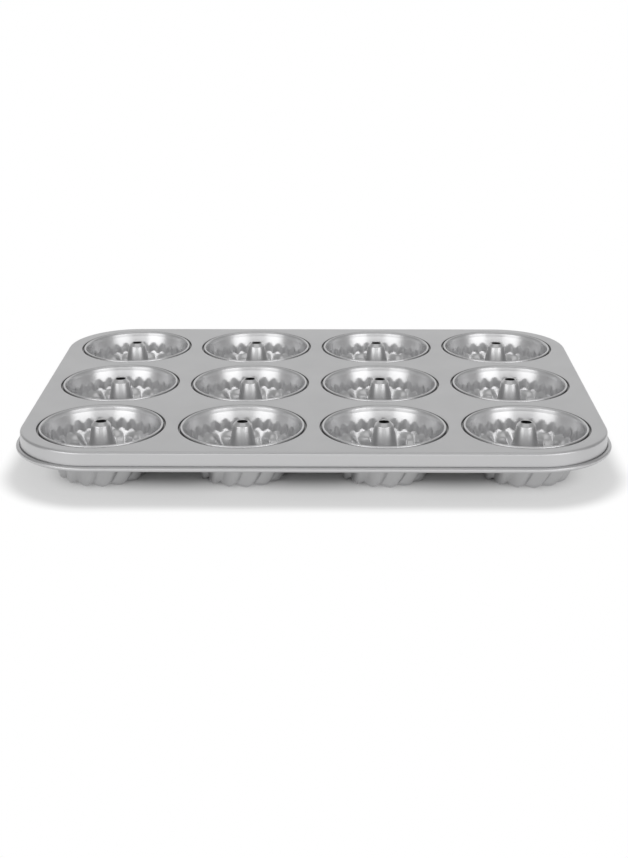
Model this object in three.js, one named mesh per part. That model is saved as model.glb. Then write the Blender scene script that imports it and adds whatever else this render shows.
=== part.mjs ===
// Mini fluted tube pan: a pressed tray that carries rows of swirl-fluted ring moulds.
// Millimetres, +Z up, +X along the tray. The cups stand on z = 0, centred on the origin.

import * as THREE from 'three';

// Layout of the cups on the tray, as flat land left between neighbouring seams
const COLUMNS = 4;
const ROWS = 3;
const COLUMN_LAND = 4.4;
const ROW_LAND = 2.9;
const END_LAND = 5.5;
const SIDE_LAND = 3.3;

// Sheet steel, and the gap between pieces that touch
const SHEET = 0.6;
const CLEARANCE = 0.3;

// Tray skirt and wired edge
const CORNER_RADIUS = 48;
const BEND_RADIUS = 2;
const SKIRT_HEIGHT = 11.2;
const SKIRT_FLARE = 0.4;
const WIRE_DIAMETER = 1.2;
const ROLL_TURN = 300;

// Cup rim, hooked over the tray's ledge
const MOUTH_RADIUS = 36;
const HEM_WIDTH = 1.5;
const HEM_DROP = 0.6;
const LEDGE_REACH = 0.5;

// Cup wall and floor, on the crests of the flutes
const CUP_DEPTH = 29.5;
const BAND_DEPTH = 7.5;
const BAND_RADIUS = 33.2;
const WALL_BULGE = 1.5;
const HEEL_RADIUS = 29.2;
const HEEL_RISE = 5;
const FLOOR_RADIUS = 21.5;

// Swirl flutes, pressed inwards between the crests, turning as they go down
const FLUTES = 15;
const FLUTE_START = 6;
const FLUTE_DEPTH = 1.7;
const FLUTE_RUNOUT = 5;
const WALL_TWIST = 3;
const HEEL_TWIST = 22;
const FLOOR_TWIST = 44;

// Centre tube, drawn up from the floor and pierced at the top
const TUBE_BASE_RADIUS = 10;
const TUBE_BASE_RISE = 4;
const TUBE_TOP_RADIUS = 5.2;
const TUBE_HOLE_RADIUS = 3.1;
const TUBE_RISE = 2.9;
const TUBE_CROWN = 2;

// Sides of the round forms
const RIM_SIDES = 24;
const TUBE_SIDES = 12;
const CORNER_STEPS = 5;
const BEND_STEPS = 2;
const ROLL_STEPS = 5;
const WIRE_SIDES = 6;

// Colours and finish
const COATING = { color: 0xb8b9bb, roughness: 0.34, metalness: 0.85 };
const BARE_STEEL = { color: 0x8f9193, roughness: 0.4, metalness: 1 };

// Places worked out from the sizes above
const halfSheet = SHEET / 2;
const stack = SHEET + CLEARANCE;
const hemRadius = MOUTH_RADIUS + HEM_WIDTH;
const seamRadius = hemRadius + 2 * stack;
const columnPitch = 2 * seamRadius + COLUMN_LAND;
const rowPitch = 2 * seamRadius + ROW_LAND;
const wireRadius = WIRE_DIAMETER / 2;
const rollRadius = wireRadius + CLEARANCE + halfSheet;
const rollDepth = rollRadius + halfSheet;
const skirtInset = rollDepth + rollRadius;
const plateInset = skirtInset + SKIRT_FLARE + BEND_RADIUS;
const halfLength = ((COLUMNS - 1) * columnPitch) / 2 + seamRadius + END_LAND + plateInset;
const halfWidth = ((ROWS - 1) * rowPitch) / 2 + seamRadius + SIDE_LAND + plateInset;
const plateMiddle = CUP_DEPTH - halfSheet;
const rollHeight = CUP_DEPTH - SKIRT_HEIGHT + rollDepth;

// Middle surface of a piece of sheet metal, built ring by ring from its outer edge inwards
class MiddleSurface {
  constructor() {
    this.points = [];
    this.triangles = [];
  }

  ring(points) {
    const first = this.points.length;
    this.points.push(...points);
    return points.map((point, index) => first + index);
  }

  // Joins two closed rings from their first points on, whatever their counts
  join(outer, inner) {
    let a = 0;
    let b = 0;
    while (a < outer.length || b < inner.length) {
      const outerNow = outer[a % outer.length];
      const innerNow = inner[b % inner.length];
      const outerEnd = (a + 1) / outer.length;
      const innerEnd = (b + 1) / inner.length;
      if (outerEnd <= innerEnd) {
        a += 1;
        this.triangles.push([outerNow, outer[a % outer.length], innerNow]);
      } else {
        b += 1;
        this.triangles.push([outerNow, inner[b % inner.length], innerNow]);
      }
    }
  }

  joinAll(rings) {
    for (let index = 1; index < rings.length; index += 1) {
      this.join(rings[index - 1], rings[index]);
    }
  }

  // Flat sheet inside one ring and outside others, facing up
  fill(outline, holes) {
    const flat = (ring) => ring.map((index) => this.points[index]);
    const all = [outline, ...holes].flat();
    for (const face of THREE.ShapeUtils.triangulateShape(flat(outline), holes.map(flat))) {
      const [a, b, c] = face.map((index) => all[index]);
      const [p, q, r] = [a, b, c].map((index) => this.points[index]);
      const turn = (q.x - p.x) * (r.y - p.y) - (q.y - p.y) * (r.x - p.x);
      this.triangles.push(turn > 0 ? [a, b, c] : [a, c, b]);
    }
  }

  // Direction from each point to the sheet's upper face, longer where the sheet is bent
  offsets() {
    const sums = this.points.map(() => new THREE.Vector3());
    const corners = [];
    for (const triangle of this.triangles) {
      const [p, q, r] = triangle.map((index) => this.points[index]);
      const normal = new THREE.Triangle(p, q, r).getNormal(new THREE.Vector3());
      triangle.forEach((index, corner) => {
        const next = this.points[triangle[(corner + 1) % 3]].clone().sub(this.points[index]);
        const last = this.points[triangle[(corner + 2) % 3]].clone().sub(this.points[index]);
        const weight = next.angleTo(last);
        sums[index].addScaledVector(normal, weight);
        corners.push({ index, normal, weight });
      });
    }
    const directions = sums.map((sum) => sum.clone().normalize());
    const weights = sums.map(() => 0);
    const heights = sums.map(() => 0);
    for (const { index, normal, weight } of corners) {
      weights[index] += weight;
      heights[index] += weight * normal.dot(directions[index]);
    }
    return directions.map((direction, index) => direction.multiplyScalar(weights[index] / heights[index]));
  }

  // Solid sheet with its two faces half a thickness either side, and its raw edges closed
  thicken(thickness) {
    const offsets = this.offsets();
    const count = this.points.length;
    const moved = (reach) => {
      return this.points.map((point, index) => point.clone().addScaledVector(offsets[index], reach));
    };
    const skins = [...moved(thickness / 2), ...moved(-thickness / 2)];
    const faces = [];
    const edges = new Map();
    for (const [a, b, c] of this.triangles) {
      faces.push(a, b, c, count + c, count + b, count + a);
      for (const [from, to] of [[a, b], [b, c], [c, a]]) {
        edges.set(`${from} ${to}`, [from, to]);
      }
    }
    for (const [from, to] of edges.values()) {
      if (!edges.has(`${to} ${from}`)) {
        faces.push(to, from, count + from, to, count + from, count + to);
      }
    }
    const geometry = new THREE.BufferGeometry().setFromPoints(skins);
    geometry.setIndex(faces);
    return geometry;
  }
}

// Points on a level circle, counter-clockwise from above
function circle(radius, height, sides, start = 0) {
  const points = [];
  for (let side = 0; side < sides; side += 1) {
    const angle = start + (side / sides) * 2 * Math.PI;
    points.push(new THREE.Vector3(radius * Math.cos(angle), radius * Math.sin(angle), height));
  }
  return points;
}

// Points on the tray's rounded outline, moved in from its overall edge by an inset
function outline(inset, height) {
  const radius = CORNER_RADIUS - inset;
  const cornerX = halfLength - CORNER_RADIUS;
  const cornerY = halfWidth - CORNER_RADIUS;
  const corners = [[1, 1], [-1, 1], [-1, -1], [1, -1]];
  return corners.flatMap(([sideX, sideY], quarter) => {
    const points = [];
    for (let step = 0; step <= CORNER_STEPS; step += 1) {
      const angle = ((quarter + step / CORNER_STEPS) * Math.PI) / 2;
      const x = sideX * cornerX + radius * Math.cos(angle);
      const y = sideY * cornerY + radius * Math.sin(angle);
      points.push(new THREE.Vector3(x, y, height));
    }
    return points;
  });
}

// Centres of the cups, rows from the front and columns from the left
function cupPlaces() {
  const places = [];
  for (let row = 0; row < ROWS; row += 1) {
    for (let column = 0; column < COLUMNS; column += 1) {
      const x = (column - (COLUMNS - 1) / 2) * columnPitch;
      const y = (row - (ROWS - 1) / 2) * rowPitch;
      places.push({ name: `cup_row${row + 1}_col${column + 1}`, x, y });
    }
  }
  return places;
}

// Height of the middle of the cup's turned rim at a radius outside the mouth
function hemHeight(radius) {
  return plateMiddle - ((radius - MOUTH_RADIUS) * HEM_DROP) / HEM_WIDTH;
}

// Tray: plate with a dip and a ledge round each cup, bent down to a skirt and rolled round the wire
function trayGeometry() {
  const tray = new MiddleSurface();
  const rolled = [];
  for (let step = ROLL_STEPS; step > 0; step -= 1) {
    const angle = Math.PI + THREE.MathUtils.degToRad((step / ROLL_STEPS) * ROLL_TURN);
    const inset = rollDepth - rollRadius * Math.cos(angle);
    rolled.push(tray.ring(outline(inset, rollHeight + rollRadius * Math.sin(angle))));
  }
  const skirtFoot = tray.ring(outline(skirtInset, rollHeight));
  const bend = [];
  for (let step = BEND_STEPS; step >= 0; step -= 1) {
    const angle = ((step / BEND_STEPS) * Math.PI) / 2;
    const inset = plateInset - BEND_RADIUS * Math.sin(angle);
    bend.push(tray.ring(outline(inset, plateMiddle - BEND_RADIUS * (1 - Math.cos(angle)))));
  }
  tray.joinAll([...rolled, skirtFoot, ...bend]);

  const ledgeDrop = stack * Math.hypot(1, HEM_DROP / HEM_WIDTH);
  const dipRadius = hemRadius + stack / 2;
  const ledgeRadius = MOUTH_RADIUS + LEDGE_REACH;
  const holes = cupPlaces().map(({ x, y }) => {
    const place = new THREE.Vector3(x, y, 0);
    const around = (radius, height) => circle(radius, height, RIM_SIDES).map((point) => point.add(place));
    const ringAt = (radius, height) => tray.ring(around(radius, height));
    const edge = ringAt(seamRadius, plateMiddle);
    const dip = ringAt(dipRadius, hemHeight(dipRadius) - ledgeDrop);
    const ledge = ringAt(ledgeRadius, hemHeight(ledgeRadius) - ledgeDrop);
    tray.joinAll([edge, dip, ledge]);
    return edge;
  });
  tray.fill(bend.at(-1), holes);
  return tray.thicken(SHEET);
}

// Wire: a closed loop that lies inside the rolled edge
function wireGeometry() {
  const rings = [];
  for (let side = 0; side < WIRE_SIDES; side += 1) {
    const angle = (side / WIRE_SIDES) * 2 * Math.PI;
    const inset = rollDepth - wireRadius * Math.cos(angle);
    rings.push(outline(inset, rollHeight + wireRadius * Math.sin(angle)));
  }
  const wire = new MiddleSurface();
  const skins = rings.map((ring) => wire.ring(ring));
  wire.joinAll([...skins, skins[0]]);
  const geometry = new THREE.BufferGeometry().setFromPoints(wire.points);
  geometry.setIndex(wire.triangles.flat());
  return geometry;
}

// Cup profile from the rim to the tube's hole, on the crests of the flutes
function cupProfile() {
  const bandHeight = CUP_DEPTH - BAND_DEPTH;
  const wallHeight = bandHeight - FLUTE_RUNOUT;
  const wallShare = FLUTE_RUNOUT / (bandHeight - HEEL_RISE);
  const wallRadius = THREE.MathUtils.lerp(BAND_RADIUS, HEEL_RADIUS, wallShare) + WALL_BULGE;
  const tubeTop = CUP_DEPTH + TUBE_RISE - halfSheet;
  return {
    hem: new THREE.Vector2(hemRadius, hemHeight(hemRadius)),
    mouth: new THREE.Vector2(MOUTH_RADIUS, plateMiddle),
    band: new THREE.Vector2(BAND_RADIUS, bandHeight),
    wall: new THREE.Vector2(wallRadius, wallHeight),
    heel: new THREE.Vector2(HEEL_RADIUS, HEEL_RISE),
    floor: new THREE.Vector2(FLOOR_RADIUS, halfSheet),
    tubeBase: new THREE.Vector2(TUBE_BASE_RADIUS, TUBE_BASE_RISE),
    tubeShoulder: new THREE.Vector2(TUBE_TOP_RADIUS, tubeTop - TUBE_CROWN),
    tubeHole: new THREE.Vector2(TUBE_HOLE_RADIUS, tubeTop),
  };
}

// Ring of flutes: crests on the profile, grooves pressed in square to it, turned clockwise by a twist
// from where the first crest starts below the band
function flutedRing(before, here, after, depth, twist) {
  const along = after.clone().sub(before).normalize();
  const groove = new THREE.Vector2(along.y, -along.x).multiplyScalar(depth).add(here);
  const turned = THREE.MathUtils.degToRad(FLUTE_START - twist);
  const crests = circle(here.x, here.y, FLUTES, turned);
  const grooves = circle(groove.x, groove.y, FLUTES, turned + Math.PI / FLUTES);
  return crests.flatMap((crest, index) => [crest, grooves[index]]);
}

// Cup: one drawn piece from the turned rim down the fluted wall and up the centre tube
function cupGeometry() {
  const { hem, mouth, band, wall, heel, floor, tubeBase, tubeShoulder, tubeHole } = cupProfile();
  const floorTurn = THREE.MathUtils.degToRad(FLUTE_START - FLOOR_TWIST);
  const cup = new MiddleSurface();
  cup.joinAll([
    cup.ring(circle(hem.x, hem.y, RIM_SIDES)),
    cup.ring(circle(mouth.x, mouth.y, RIM_SIDES)),
    cup.ring(flutedRing(mouth, band, wall, 0, 0)),
    cup.ring(flutedRing(band, wall, heel, FLUTE_DEPTH, WALL_TWIST)),
    cup.ring(flutedRing(wall, heel, floor, FLUTE_DEPTH, HEEL_TWIST)),
    cup.ring(flutedRing(heel, floor, tubeBase, FLUTE_DEPTH, FLOOR_TWIST)),
    cup.ring(circle(tubeBase.x, tubeBase.y, TUBE_SIDES, floorTurn)),
    cup.ring(circle(tubeShoulder.x, tubeShoulder.y, TUBE_SIDES, floorTurn)),
    cup.ring(circle(tubeHole.x, tubeHole.y, TUBE_SIDES, floorTurn)),
  ]);
  return cup.thicken(SHEET);
}

// Assembly
const pan = new THREE.Group();

function addPiece(name, geometry, finish) {
  const piece = new THREE.Mesh(geometry, new THREE.MeshStandardMaterial(finish));
  piece.name = name;
  geometry.computeVertexNormals();
  pan.add(piece);
  return piece;
}

addPiece('tray', trayGeometry(), COATING);
addPiece('rim_wire', wireGeometry(), BARE_STEEL);
for (const { name, x, y } of cupPlaces()) {
  addPiece(name, cupGeometry(), COATING).position.set(x, y, 0);
}

// The lowest crests stand on z = 0
const lowest = new THREE.Box3().setFromObject(pan).min.z;
for (const piece of pan.children) {
  piece.position.z = -lowest;
}

export default pan;
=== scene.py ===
import math

import bpy
from mathutils import Matrix, Vector
from mathutils.kdtree import KDTree


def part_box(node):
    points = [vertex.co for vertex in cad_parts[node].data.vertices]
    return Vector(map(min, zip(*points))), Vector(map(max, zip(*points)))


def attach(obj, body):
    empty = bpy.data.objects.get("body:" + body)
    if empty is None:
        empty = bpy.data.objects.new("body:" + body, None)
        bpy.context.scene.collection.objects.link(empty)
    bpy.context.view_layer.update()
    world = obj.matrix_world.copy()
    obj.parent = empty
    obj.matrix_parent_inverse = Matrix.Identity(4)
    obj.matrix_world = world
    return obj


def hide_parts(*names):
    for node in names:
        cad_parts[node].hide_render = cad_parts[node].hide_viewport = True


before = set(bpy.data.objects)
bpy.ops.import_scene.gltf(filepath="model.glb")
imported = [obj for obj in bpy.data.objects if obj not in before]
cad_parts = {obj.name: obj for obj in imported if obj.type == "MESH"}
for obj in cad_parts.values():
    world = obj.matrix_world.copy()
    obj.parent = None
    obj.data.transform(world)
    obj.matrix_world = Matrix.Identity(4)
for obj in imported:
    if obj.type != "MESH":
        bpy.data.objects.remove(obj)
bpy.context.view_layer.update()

# Tray
# One plate of steel sheet with a silver baking coat, pressed with a dip and a ledge at each hole.
# Its edge is bent down to a skirt and rolled outwards round a wire.
MM = 0.001
SHEET = 0.6 * MM
SEAM_RADIUS = 39.2 * MM
SEAM_MARGIN = 1.2 * MM
SEAM_ROUND = 6 * MM
DIP_RADIUS = 37.9 * MM
DIP_DEPTH = 0.15 * MM
DIP_ROUND = 0.2 * MM
GROOVE_RADIUS = 37.8 * MM
GROOVE_DEPTH = 1.7 * MM
GROOVE_ROUND = 0.5 * MM
LEDGE_RADIUS = 36.2 * MM
SEAM_STEPS = 96

tray_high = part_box("tray")[1]
plate_top = tray_high.z
plate_middle = plate_top - SHEET / 2


# Opens one piece, and no other, in edit mode
def edit(piece):
    bpy.ops.object.select_all(action="DESELECT")
    piece.select_set(True)
    bpy.context.view_layer.objects.active = piece
    bpy.ops.object.mode_set(mode="EDIT")
    bpy.ops.mesh.select_mode(type="VERT")


# Leaves edit mode
def done():
    bpy.ops.object.mode_set(mode="OBJECT")


# Selects the vertices of the piece in edit mode that pass a test on their place
def pick(piece, test):
    bpy.ops.mesh.select_all(action="DESELECT")
    done()
    for vertex in piece.data.vertices:
        vertex.select = test(vertex.co)
    bpy.ops.object.mode_set(mode="EDIT")


# Moves the selected vertices of the piece in edit mode, each to a place worked out from its own
def move_each(piece, new_place):
    done()
    for vertex in piece.data.vertices:
        if vertex.select:
            vertex.co = new_place(vertex.co)
    bpy.ops.object.mode_set(mode="EDIT")


SAME_PLACE = 1e-6
FILLET_STEP_DEGREES = 7
LEAST_FILLET_STEPS = 3


# Draws a wire in the XZ plane by its corners, each (across, height, fillet radius)
def draw_wire(name, corners):
    bpy.ops.object.select_all(action="DESELECT")
    bpy.ops.mesh.primitive_plane_add(size=MM)
    wire = bpy.context.object
    wire.name = name
    edit(wire)
    bpy.ops.mesh.merge(type="CENTER")
    places = [Vector((across, 0, height)) for across, height, fillet in corners]
    bpy.ops.transform.translate(value=places[0])
    for before, after in zip(places, places[1:]):
        bpy.ops.mesh.extrude_region_move(TRANSFORM_OT_translate={"value": after - before})
    for index in range(1, len(corners) - 1):
        fillet = corners[index][2]
        corner = places[index]
        turn = (corner - places[index - 1]).angle(places[index + 1] - corner)
        pick(wire, lambda place: (place - corner).length < SAME_PLACE)
        bpy.ops.mesh.bevel(
            affect="VERTICES",
            offset=fillet * math.tan(turn / 2),
            segments=max(LEAST_FILLET_STEPS, round(math.degrees(turn) / FILLET_STEP_DEGREES)),
        )
    return wire


# Turns the whole wire once round the upright axis through the origin
def turn_round(steps):
    bpy.ops.mesh.select_all(action="SELECT")
    bpy.ops.mesh.spin(steps=steps, angle=2 * math.pi, center=(0, 0, 0), axis=(0, 0, -1))
    bpy.ops.mesh.select_all(action="SELECT")
    bpy.ops.mesh.remove_doubles(threshold=SAME_PLACE)


# Turns the faces of an open sheet the right way round, judged by the largest level face
def face_up(piece):
    bpy.ops.mesh.select_all(action="SELECT")
    bpy.ops.mesh.normals_make_consistent(inside=False)
    done()
    flattest = max(piece.data.polygons, key=lambda face: abs(face.normal.z) * face.area)
    upside_down = flattest.normal.z < 0
    bpy.ops.object.mode_set(mode="EDIT")
    if upside_down:
        bpy.ops.mesh.flip_normals()


SMOOTH_ANGLE = math.radians(35)


# Gives the sheet its thickness, half to each side
def thicken(piece):
    wall = piece.modifiers.new("wall", "SOLIDIFY")
    wall.thickness = SHEET
    wall.offset = 0
    bpy.ops.object.modifier_apply(modifier=wall.name)
    bpy.ops.object.shade_smooth_by_angle(angle=SMOOTH_ANGLE)


# Middle of a cup's place, taken from its node
def cup_place(node):
    low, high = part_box(node)
    return Vector(((low.x + high.x) / 2, (low.y + high.y) / 2, 0))


# The dip and ledge of one hole, with the cell of flat plate that belongs to it
cup_nodes = sorted(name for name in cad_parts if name.startswith("cup_"))
half_pitch_x = (cup_place("cup_row1_col2").x - cup_place("cup_row1_col1").x) / 2
half_pitch_y = (cup_place("cup_row2_col1").y - cup_place("cup_row1_col1").y) / 2
cell = draw_wire(
    "plate_cell",
    (
        (SEAM_RADIUS + SEAM_MARGIN, plate_middle, 0),
        (SEAM_RADIUS, plate_middle, SEAM_ROUND),
        (DIP_RADIUS, plate_middle - DIP_DEPTH, DIP_ROUND),
        (GROOVE_RADIUS, plate_middle - GROOVE_DEPTH, GROOVE_ROUND),
        (LEDGE_RADIUS, plate_middle - GROOVE_DEPTH, 0),
    ),
)
turn_round(SEAM_STEPS)


def cell_edge(place):
    stretch = max(abs(place.x), abs(place.y))
    return Vector((place.x / stretch * half_pitch_x, place.y / stretch * half_pitch_y, place.z))


pick(cell, lambda place: place.xy.length > SEAM_RADIUS + SEAM_MARGIN - SAME_PLACE)
bpy.ops.mesh.extrude_edges_move()
move_each(cell, cell_edge)
done()

# The plate, of one cell for each hole, its border moved out to where the edge is bent down
CORNER_RADIUS = 48 * MM
BEND_RADIUS = 1.4 * MM
BEND_STEPS = 12
SKIRT_HEIGHT = 11.2 * MM
SKIRT_FLARE = 0.4 * MM
ROLL_RADIUS = 1.2 * MM
ROLL_TURN = math.radians(300)
ROLL_STEPS = 20
SAME_EDGE = 1e-5

roll_inset = ROLL_RADIUS + SHEET / 2
roll_height = plate_top - SKIRT_HEIGHT + roll_inset
skirt_inset = roll_inset + ROLL_RADIUS
plate_inset = skirt_inset + SKIRT_FLARE + BEND_RADIUS
corner_x = tray_high.x - CORNER_RADIUS
corner_y = tray_high.y - CORNER_RADIUS
cells = []
for node in cup_nodes:
    copy = bpy.data.objects.new(node + "_cell", cell.data.copy())
    bpy.context.scene.collection.objects.link(copy)
    copy.data.transform(Matrix.Translation(cup_place(node)))
    cells.append(copy)
bpy.data.objects.remove(cell)
bpy.ops.object.select_all(action="DESELECT")
for copy in cells:
    copy.select_set(True)
tray = cells[0]
bpy.context.view_layer.objects.active = tray
bpy.ops.object.join()
tray.name = "pressed_tray"
border_x = cup_place(cup_nodes[-1]).x + half_pitch_x
border_y = cup_place(cup_nodes[-1]).y + half_pitch_y
edit(tray)
bpy.ops.mesh.select_all(action="SELECT")
bpy.ops.mesh.remove_doubles(threshold=SAME_EDGE)
pick(
    tray,
    lambda place: abs(place.x) > border_x - SAME_EDGE or abs(place.y) > border_y - SAME_EDGE,
)


# Makes a move to the tray's rounded outline, taken in from its overall edge by an inset
def to_outline(inset, height):
    def new_place(place):
        core_x = min(max(place.x, -corner_x), corner_x)
        core_y = min(max(place.y, -corner_y), corner_y)
        core = Vector((core_x, core_y))
        edge = core + (place.xy - core).normalized() * (CORNER_RADIUS - inset)
        return Vector((*edge, height))

    return new_place


move_each(tray, to_outline(plate_inset, plate_middle))

# The border drawn down round the bend, down the skirt and round the wire
rim_steps = []
for step in range(1, BEND_STEPS + 1):
    angle = step / BEND_STEPS * math.pi / 2
    inset = plate_inset - BEND_RADIUS * math.sin(angle)
    height = plate_middle - BEND_RADIUS * (1 - math.cos(angle))
    rim_steps.append((inset, height))
for step in range(ROLL_STEPS + 1):
    angle = math.pi + step / ROLL_STEPS * ROLL_TURN
    inset = roll_inset - ROLL_RADIUS * math.cos(angle)
    height = roll_height + ROLL_RADIUS * math.sin(angle)
    rim_steps.append((inset, height))
for inset, height in rim_steps:
    bpy.ops.mesh.extrude_edges_move()
    move_each(tray, to_outline(inset, height))
face_up(tray)
done()
thicken(tray)

SILVER = (0.54, 0.54, 0.545)
# Painted shade: a darker grey laid into the groove round each hole of the tray
PAINTED_GROOVE_SHADE_GREY = (0.26, 0.26, 0.26)
CLOUD_SCALE = 45
CLOUD_DETAIL = 4
CLOUD_LOW = 0.3
CLOUD_HIGH = 0.7
GRAIN_SCALE = 1400
GRAIN_DETAIL = 2
GRAIN_STRENGTH = 0.06
GRAIN_HEIGHT = 0.05 * MM


# Silver baking coat: satin metallic paint with a fine grain and slightly uneven gloss,
# with painted shade (a darker grey) where the mesh is marked for it, as in the groove round the
# tray's holes
def silver_coat(name, colour, dull, bright):
    coat = bpy.data.materials.new(name)
    coat.use_nodes = True
    nodes = coat.node_tree.nodes
    links = coat.node_tree.links
    shader = nodes["Principled BSDF"]
    shader.inputs["Metallic"].default_value = 1
    painted_groove_shade = nodes.new("ShaderNodeAttribute")
    painted_groove_shade.attribute_name = "painted_groove_shade"
    tone = nodes.new("ShaderNodeMix")
    tone.data_type = "RGBA"
    tone.inputs["A"].default_value = (*colour, 1)
    tone.inputs["B"].default_value = (*PAINTED_GROOVE_SHADE_GREY, 1)
    links.new(painted_groove_shade.outputs["Fac"], tone.inputs["Factor"])
    links.new(tone.outputs["Result"], shader.inputs["Base Color"])
    place = nodes.new("ShaderNodeTexCoord")
    cloud = nodes.new("ShaderNodeTexNoise")
    cloud.inputs["Scale"].default_value = CLOUD_SCALE
    cloud.inputs["Detail"].default_value = CLOUD_DETAIL
    links.new(place.outputs["Object"], cloud.inputs["Vector"])
    gloss = nodes.new("ShaderNodeMapRange")
    gloss.inputs["From Min"].default_value = CLOUD_LOW
    gloss.inputs["From Max"].default_value = CLOUD_HIGH
    gloss.inputs["To Min"].default_value = bright
    gloss.inputs["To Max"].default_value = dull
    links.new(cloud.outputs["Fac"], gloss.inputs["Value"])
    links.new(gloss.outputs["Result"], shader.inputs["Roughness"])
    grain = nodes.new("ShaderNodeTexNoise")
    grain.inputs["Scale"].default_value = GRAIN_SCALE
    grain.inputs["Detail"].default_value = GRAIN_DETAIL
    links.new(place.outputs["Object"], grain.inputs["Vector"])
    relief = nodes.new("ShaderNodeBump")
    relief.inputs["Strength"].default_value = GRAIN_STRENGTH
    relief.inputs["Distance"].default_value = GRAIN_HEIGHT
    links.new(grain.outputs["Fac"], relief.inputs["Height"])
    links.new(relief.outputs["Normal"], shader.inputs["Normal"])
    return coat


# Painted shade: vertices within the dip radius of a hole, in the groove and on the ledge, are
# marked to take the darker grey
painted_groove_shade_share = tray.data.attributes.new("painted_groove_shade", "FLOAT", "POINT")
hole_places = [cup_place(node) for node in cup_nodes]
for vertex in tray.data.vertices:
    nearest = min((vertex.co - hole).xy.length for hole in hole_places)
    painted_groove_shade_share.data[vertex.index].value = 1 if nearest < DIP_RADIUS else 0
tray.data.materials.append(silver_coat("tray_coat", SILVER, dull=0.42, bright=0.36))
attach(tray, "root")
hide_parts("tray")

# Rim wire
# A loop of plain drawn steel wire that stiffens the tray's edge.
# The edge is rolled round it, so it shows only through the slit beside the skirt.
WIRE_RADIUS = 0.6 * MM
WIRE_SIDES = 16
CORNER_STEPS = 32
WIRE_GREY = (0.36, 0.36, 0.37)

bpy.ops.object.select_all(action="DESELECT")
bpy.ops.mesh.primitive_circle_add(
    vertices=WIRE_SIDES,
    radius=WIRE_RADIUS,
    rotation=(math.pi / 2, 0, 0),
)
rim_wire = bpy.context.object
rim_wire.name = "drawn_wire"
bpy.ops.object.transform_apply(location=True, rotation=True, scale=True)
edit(rim_wire)
bpy.ops.mesh.select_all(action="SELECT")
bpy.ops.transform.translate(value=(tray_high.x - roll_inset, -corner_y, roll_height))
sides = (
    ((0, 2 * corner_y, 0), (corner_x, corner_y, 0)),
    ((-2 * corner_x, 0, 0), (-corner_x, corner_y, 0)),
    ((0, -2 * corner_y, 0), (-corner_x, -corner_y, 0)),
    ((2 * corner_x, 0, 0), (corner_x, -corner_y, 0)),
)
for side, corner in sides:
    bpy.ops.mesh.extrude_edges_move(TRANSFORM_OT_translate={"value": side})
    bpy.ops.mesh.spin(steps=CORNER_STEPS, angle=math.pi / 2, center=corner, axis=(0, 0, -1))
bpy.ops.mesh.select_all(action="SELECT")
bpy.ops.mesh.remove_doubles(threshold=SAME_PLACE)
bpy.ops.mesh.normals_make_consistent(inside=False)
done()
bpy.ops.object.shade_smooth()
rim_wire.data.materials.append(silver_coat("drawn_steel", WIRE_GREY, dull=0.42, bright=0.34))
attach(rim_wire, "root")
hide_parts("rim_wire")

# Cups
# Each cup is one piece of steel sheet with the same silver coat.
# It is drawn to a ring mould with swirl flutes and a pierced centre tube.
# Its turned rim is hooked over the tray's ledge and pressed down.
HEM_RADIUS = 36.35 * MM
HEM_DROP = 1 * MM
CREST_RADIUS = 36 * MM
CREST_RISE = 0.5 * MM
CREST_ROUND = 0.4 * MM
MOUTH_RADIUS = 35.4 * MM
MOUTH_RISE = 0.25 * MM
LIP_RADIUS = 34.95 * MM
LIP_DEPTH = 0.9 * MM
LIP_ROUND = 0.6 * MM
CREASE_RADIUS = 34.6 * MM
CREASE_DEPTH = 2.7 * MM
BAND_RADIUS = 33.45 * MM
BAND_DEPTH = 6.5 * MM
BAND_ROUND = 1 * MM
NICHE_FOOT_RADIUS = 32.5 * MM
NICHE_FOOT_DEPTH = 12.6 * MM
SHELF_RADIUS = 31.9 * MM
SHELF_DEPTH = 14.2 * MM
SHELF_ROUND = 0.5 * MM
HEEL_RADIUS = 25.6 * MM
HEEL_ROUND = 4 * MM
TUBE_BASE_RADIUS = 10.6 * MM
TUBE_BASE_ROUND = 5 * MM
TUBE_TOP_RADIUS = 5.3 * MM
TUBE_CROWN = 2 * MM
TUBE_ROUND = 0.8 * MM
TUBE_HOLE_RADIUS = 3.35 * MM

cup_low, cup_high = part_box(cup_nodes[0])
floor_middle = cup_low.z + SHEET / 2
tube_middle = cup_high.z - SHEET / 2
cup = draw_wire(
    "drawn_cup",
    (
        (HEM_RADIUS, plate_middle - HEM_DROP, 0),
        (CREST_RADIUS, plate_middle + CREST_RISE, CREST_ROUND),
        (MOUTH_RADIUS, plate_middle + MOUTH_RISE, LIP_ROUND),
        (LIP_RADIUS, plate_top - LIP_DEPTH, LIP_ROUND),
        (CREASE_RADIUS, plate_top - CREASE_DEPTH, BAND_ROUND),
        (BAND_RADIUS, plate_top - BAND_DEPTH, BAND_ROUND),
        (NICHE_FOOT_RADIUS, plate_top - NICHE_FOOT_DEPTH, SHELF_ROUND),
        (SHELF_RADIUS, plate_top - SHELF_DEPTH, SHELF_ROUND),
        (HEEL_RADIUS, floor_middle, HEEL_ROUND),
        (TUBE_BASE_RADIUS, floor_middle, TUBE_BASE_ROUND),
        (TUBE_TOP_RADIUS, tube_middle - TUBE_CROWN, TUBE_ROUND),
        (TUBE_HOLE_RADIUS, tube_middle, 0),
    ),
)

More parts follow.
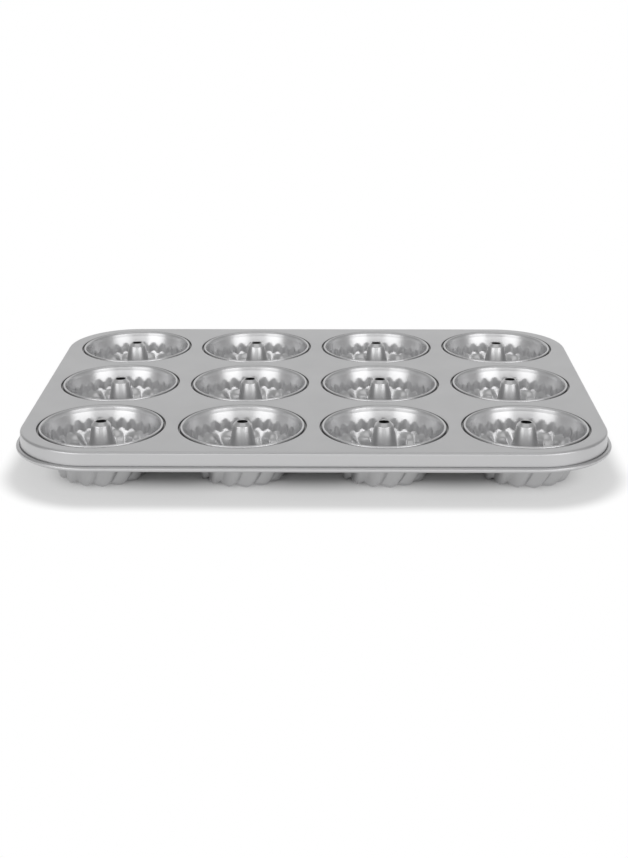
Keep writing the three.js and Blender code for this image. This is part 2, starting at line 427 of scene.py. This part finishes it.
# Rows of the niches, wall and floor, close enough for the flutes to bend smoothly
FLUTE_END_RADIUS = 12 * MM
NICHE_ROW = 0.4 * MM
FLUTE_ROW = 0.9 * MM
bpy.ops.mesh.select_mode(type="EDGE")
while True:
    done()
    long_edges = []
    for edge in cup.data.edges:
        first, second = (cup.data.vertices[index].co for index in edge.vertices)
        top = max(first.z, second.z)
        fluted = top < plate_top - CREASE_DEPTH and min(first.x, second.x) > FLUTE_END_RADIUS
        row_limit = NICHE_ROW if top > plate_top - SHELF_DEPTH else FLUTE_ROW
        edge.select = fluted and (second - first).length > row_limit
        if edge.select:
            long_edges.append(edge)
    for vertex in cup.data.vertices:
        vertex.select = False
    bpy.ops.object.mode_set(mode="EDIT")
    if not long_edges:
        break
    bpy.ops.mesh.subdivide(number_cuts=1)
done()

# Along the wire from its hem: the distance below the shelf, and how far the flutes have turned
LEAN_RUN = 25 * MM
MOST_LEAN = 0.7
links_of = {}
for edge in cup.data.edges:
    first, second = edge.vertices
    links_of.setdefault(first, []).append(second)
    links_of.setdefault(second, []).append(first)
shelf_edge = Vector((SHELF_RADIUS, 0, plate_top - SHELF_DEPTH))
here = max(links_of, key=lambda index: cup.data.vertices[index].co.x)
order = [here]
while len(order) < len(links_of):
    here = next(index for index in links_of[here] if index not in order[-2:])
    order.append(here)
places = [cup.data.vertices[index].co.copy() for index in order]
shelf_row = min(range(len(places)), key=lambda row: (places[row] - shelf_edge).length)
below_shelf = [0.0] * len(places)
turned = [0.0] * len(places)
wire_rows = KDTree(len(places))
for row, place in enumerate(places):
    wire_rows.insert(place, row)
    if row > shelf_row:
        step = (place - places[row - 1]).length
        below_shelf[row] = below_shelf[row - 1] + step
        turned[row] = turned[row - 1] + min(below_shelf[row] / LEAN_RUN, MOST_LEAN) * step / place.x
wire_rows.balance()
FLUTES = 15
FLUTE_STEPS = 16
bpy.ops.object.mode_set(mode="EDIT")
turn_round(FLUTES * FLUTE_STEPS)
face_up(cup)


# Rises from 0 to 1 between two values, level at both ends
def ease(value, start, end):
    share = min(max((value - start) / (end - start), 0), 1)
    return share * share * (3 - 2 * share)


# Row of hollows side by side: 0 in the middle of each, 1 on the ridges between them
def scallop(phase, ridge_round):
    deepest = math.hypot(1, ridge_round)
    return (deepest - math.hypot(math.cos(phase / 2), ridge_round)) / (deepest - ridge_round)


# Upright niches between the band and the shelf, two for each flute
FLUTE_START = math.radians(-1.3)
NICHE_DEPTH = 0.42 * MM
NICHE_RIDGE_ROUND = 0.3
band_slope = (CREASE_RADIUS - BAND_RADIUS) / (BAND_DEPTH - CREASE_DEPTH)
niche_slope = (BAND_RADIUS - NICHE_FOOT_RADIUS) / (NICHE_FOOT_DEPTH - BAND_DEPTH)


def into_niche(place):
    radius = place.xy.length
    angle = math.atan2(place.y, place.x) - FLUTE_START
    depth = plate_top - place.z
    band = BAND_RADIUS - band_slope * (depth - BAND_DEPTH)
    wall = BAND_RADIUS - niche_slope * (depth - BAND_DEPTH)
    ridge = NICHE_DEPTH * scallop(2 * FLUTES * angle + math.pi, NICHE_RIDGE_ROUND)
    pressed = min(radius, max(band, wall - ridge)) / radius
    return Vector((place.x * pressed, place.y * pressed, place.z))


def on_niches(place):
    return BAND_DEPTH < plate_top - place.z < SHELF_DEPTH and place.xy.length > SHELF_RADIUS


pick(cup, on_niches)
move_each(cup, into_niche)
done()


# Row of pleats with a wide and a narrow flat side: 0 on the outer edges, 1 on the inner ones
def pleat(turns, narrow_share, edge_round):
    part = turns % 1
    wide_share = 1 - narrow_share
    evened = part / wide_share if part < wide_share else 1 + (part - wide_share) / narrow_share
    blunt = 1 - edge_round
    lowest = math.acos(blunt)
    return (math.acos(-blunt * math.cos(math.pi * evened)) - lowest) / (math.pi - 2 * lowest)


# Flutes of the wall and floor, which lean more and more until they die out by the tube
SWIRL_DEPTH = 2.3 * MM
SWIRL_FULL = 5 * MM
NARROW_SHARE = 0.36
SWIRL_EDGE_ROUND = 0.02
SWIRL_BULGE = 1.25
SWIRL_SHIFT = 0.5
FADE_RADIUS = 2 * FLUTE_END_RADIUS
flutes = cup.vertex_groups.new(name="flutes")
for vertex in cup.data.vertices:
    radius = vertex.co.xy.length
    row = wire_rows.find(Vector((radius, 0, vertex.co.z)))[1]
    if below_shelf[row] == 0 or radius < FLUTE_END_RADIUS:
        continue
    angle = math.atan2(vertex.co.y, vertex.co.x) - FLUTE_START + turned[row]
    fade = ease(below_shelf[row], 0, SWIRL_FULL) * ease(radius, FLUTE_END_RADIUS, FADE_RADIUS)
    height = pleat(FLUTES * angle / (2 * math.pi) - SWIRL_SHIFT, NARROW_SHARE, SWIRL_EDGE_ROUND)
    flutes.add([vertex.index], fade * height ** SWIRL_BULGE, "REPLACE")
bpy.ops.object.select_all(action="DESELECT")
cup.select_set(True)
bpy.context.view_layer.objects.active = cup
press = cup.modifiers.new("press", "DISPLACE")
press.direction = "NORMAL"
press.vertex_group = flutes.name
press.mid_level = 0
press.strength = SWIRL_DEPTH
bpy.ops.object.modifier_apply(modifier=press.name)
thicken(cup)

# Painted light: the cups take the same silver coat as the tray in a lighter grey, so that they read
# brighter
CUP_SILVER_PAINTED_LIGHTER = (0.59, 0.59, 0.595)
cup.data.materials.append(silver_coat("cup_coat", CUP_SILVER_PAINTED_LIGHTER, dull=0.33, bright=0.28))
for node in cup_nodes:
    copy = bpy.data.objects.new("drawn_" + node, cup.data.copy())
    bpy.context.scene.collection.objects.link(copy)
    copy.data.transform(Matrix.Translation(cup_place(node)))
    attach(copy, "root")
    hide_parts(node)
bpy.data.objects.remove(cup)

# Studio
# A pale grey floor with painted light: for the camera and in reflections it glows half white from
# 40 to 12 mm inside the tray's outline, lifting the floor under the rim, and fully white from 1 to
# 15 mm beyond it. Under the pan, out of reach of the glow, the floor keeps its low plain grey, a
# painted shade.
# Three soft lights stand in front, one stands behind and one hangs above.
# The camera stands where the photograph was taken from.
FLOOR_SIZE = 8
# Plain grey of the paper, kept low so that under the pan, where the glow does not reach, the floor
# is darker: painted shade
FLOOR_GREY = 0.58
# Painted light: the floor glows half white between the first two distances inside the tray's
# outline, lifting the shade under the rim, and fully white between the last two beyond it
GLOW_START = -40 * MM
GLOW_END = -12 * MM
FADE_START = 1 * MM
FADE_END = 15 * MM
FADES = ((GLOW_START, GLOW_END), (FADE_START, FADE_END))
PAPER_ROUGHNESS = 0.9
PAPER_GLOSS = 0.1

bpy.ops.object.select_all(action="DESELECT")
bpy.ops.mesh.primitive_plane_add(size=FLOOR_SIZE)
floor = bpy.context.object
floor.name = "studio_floor"
paper = bpy.data.materials.new("studio_paper")
paper.use_nodes = True
nodes = paper.node_tree.nodes
links = paper.node_tree.links
matt = nodes["Principled BSDF"]
matt.inputs["Base Color"].default_value = (FLOOR_GREY, FLOOR_GREY, FLOOR_GREY, 1)
matt.inputs["Roughness"].default_value = PAPER_ROUGHNESS
matt.inputs["Specular IOR Level"].default_value = PAPER_GLOSS
place = nodes.new("ShaderNodeTexCoord")
flipped = nodes.new("ShaderNodeVectorMath")
flipped.operation = "ABSOLUTE"
links.new(place.outputs["Object"], flipped.inputs[0])
beyond = nodes.new("ShaderNodeVectorMath")
beyond.operation = "SUBTRACT"
beyond.inputs[1].default_value = (corner_x, corner_y, 0)
links.new(flipped.outputs["Vector"], beyond.inputs[0])
outside = nodes.new("ShaderNodeVectorMath")
outside.operation = "MAXIMUM"
outside.inputs[1].default_value = (0, 0, 0)
links.new(beyond.outputs["Vector"], outside.inputs[0])
reach = nodes.new("ShaderNodeVectorMath")
reach.operation = "LENGTH"
links.new(outside.outputs["Vector"], reach.inputs[0])
fades = []
for start, end in FADES:
    fade = nodes.new("ShaderNodeMapRange")
    fade.interpolation_type = "SMOOTHSTEP"
    fade.inputs["From Min"].default_value = CORNER_RADIUS + start
    fade.inputs["From Max"].default_value = CORNER_RADIUS + end
    fade.inputs["To Max"].default_value = 1 / len(FADES)
    links.new(reach.outputs["Value"], fade.inputs["Value"])
    fades.append(fade.outputs["Result"])
both = nodes.new("ShaderNodeMath")
both.operation = "ADD"
links.new(fades[0], both.inputs[0])
links.new(fades[1], both.inputs[1])


# Makes a value of one where a ray comes from the camera, from a reflection or through glass
def shown_rays(nodes, links):
    path = nodes.new("ShaderNodeLightPath")
    first = nodes.new("ShaderNodeMath")
    first.operation = "MAXIMUM"
    links.new(path.outputs["Is Camera Ray"], first.inputs[0])
    links.new(path.outputs["Is Glossy Ray"], first.inputs[1])
    second = nodes.new("ShaderNodeMath")
    second.operation = "MAXIMUM"
    links.new(first.outputs["Value"], second.inputs[0])
    links.new(path.outputs["Is Transmission Ray"], second.inputs[1])
    return second.outputs["Value"]


share = nodes.new("ShaderNodeMath")
share.operation = "MULTIPLY"
links.new(both.outputs["Value"], share.inputs[0])
links.new(shown_rays(nodes, links), share.inputs[1])
# Painted light: white glow mixed into the floor by the fades above, for camera, reflection and
# glass rays
white = nodes.new("ShaderNodeEmission")
white.inputs["Strength"].default_value = 1
ground = nodes.new("ShaderNodeMixShader")
links.new(share.outputs["Value"], ground.inputs["Fac"])
links.new(matt.outputs["BSDF"], ground.inputs[1])
links.new(white.outputs["Emission"], ground.inputs[2])
links.new(ground.outputs["Shader"], nodes["Material Output"].inputs["Surface"])
floor.data.materials.append(paper)

WORLD_LIGHT = 0.46
world = bpy.data.worlds.new("studio_room")
bpy.context.scene.world = world
world.use_nodes = True
nodes = world.node_tree.nodes
links = world.node_tree.links
room = nodes["Background"]
room.inputs["Color"].default_value = (1, 1, 1, 1)
room.inputs["Strength"].default_value = WORLD_LIGHT
backdrop = nodes.new("ShaderNodeBackground")
backdrop.inputs["Color"].default_value = (1, 1, 1, 1)
backdrop.inputs["Strength"].default_value = 1
path = nodes.new("ShaderNodeLightPath")
either = nodes.new("ShaderNodeMixShader")
links.new(path.outputs["Is Camera Ray"], either.inputs["Fac"])
links.new(room.outputs["Background"], either.inputs[1])
links.new(backdrop.outputs["Background"], either.inputs[2])
links.new(either.outputs["Shader"], nodes["World Output"].inputs["Surface"])


FRONT_HEIGHT = 0.62
SIDE_ACROSS = 1.3
SIDE_AWAY = 1.44
MIDDLE_AWAY = 1.94
BACK_AWAY = 2
BACK_HEIGHT = 0.9
TOP_AWAY = 0.01
TOP_HEIGHT = 2.4


# Soft rectangular light aimed at the pan, with a given brightness of its face
def softbox(name, place, width, height, brightness):
    lamp = bpy.data.lights.new(name, "AREA")
    lamp.shape = "RECTANGLE"
    lamp.size = width
    lamp.size_y = height
    lamp.energy = brightness * math.pi * width * height
    holder = bpy.data.objects.new(name, lamp)
    holder.location = place
    holder.rotation_euler = (-Vector(place)).to_track_quat("-Z", "Y").to_euler()
    bpy.context.scene.collection.objects.link(holder)


for name, across in (("left", -SIDE_ACROSS), ("right", SIDE_ACROSS)):
    softbox(name, (across, -SIDE_AWAY, FRONT_HEIGHT), width=1.5, height=1, brightness=1.75)
softbox("middle", (0, -MIDDLE_AWAY, FRONT_HEIGHT), width=1.2, height=1, brightness=0.95)
softbox("back", (0, BACK_AWAY, BACK_HEIGHT), width=4, height=1.8, brightness=0.37)
softbox("top", (0, TOP_AWAY, TOP_HEIGHT), width=2.6, height=2.6, brightness=0.4)

LENS = 59.58
SENSOR = 36
TILT = math.radians(19.85)
YAW = math.radians(0.77)
ROLL = math.radians(-0.13)
CAMERA_PLACE = (11 * MM, -865 * MM, 310.3 * MM)
camera = bpy.data.objects.new("camera", bpy.data.cameras.new("camera"))
camera.data.lens = LENS
camera.data.sensor_width = SENSOR
camera.location = CAMERA_PLACE
tilted = Matrix.Rotation(math.pi / 2 - TILT, 3, "X")
aim = Matrix.Rotation(YAW, 3, "Z") @ tilted @ Matrix.Rotation(ROLL, 3, "Z")
camera.rotation_euler = aim.to_euler()
bpy.context.scene.collection.objects.link(camera)
bpy.context.scene.camera = camera
bpy.context.scene.view_settings.view_transform = "Standard"
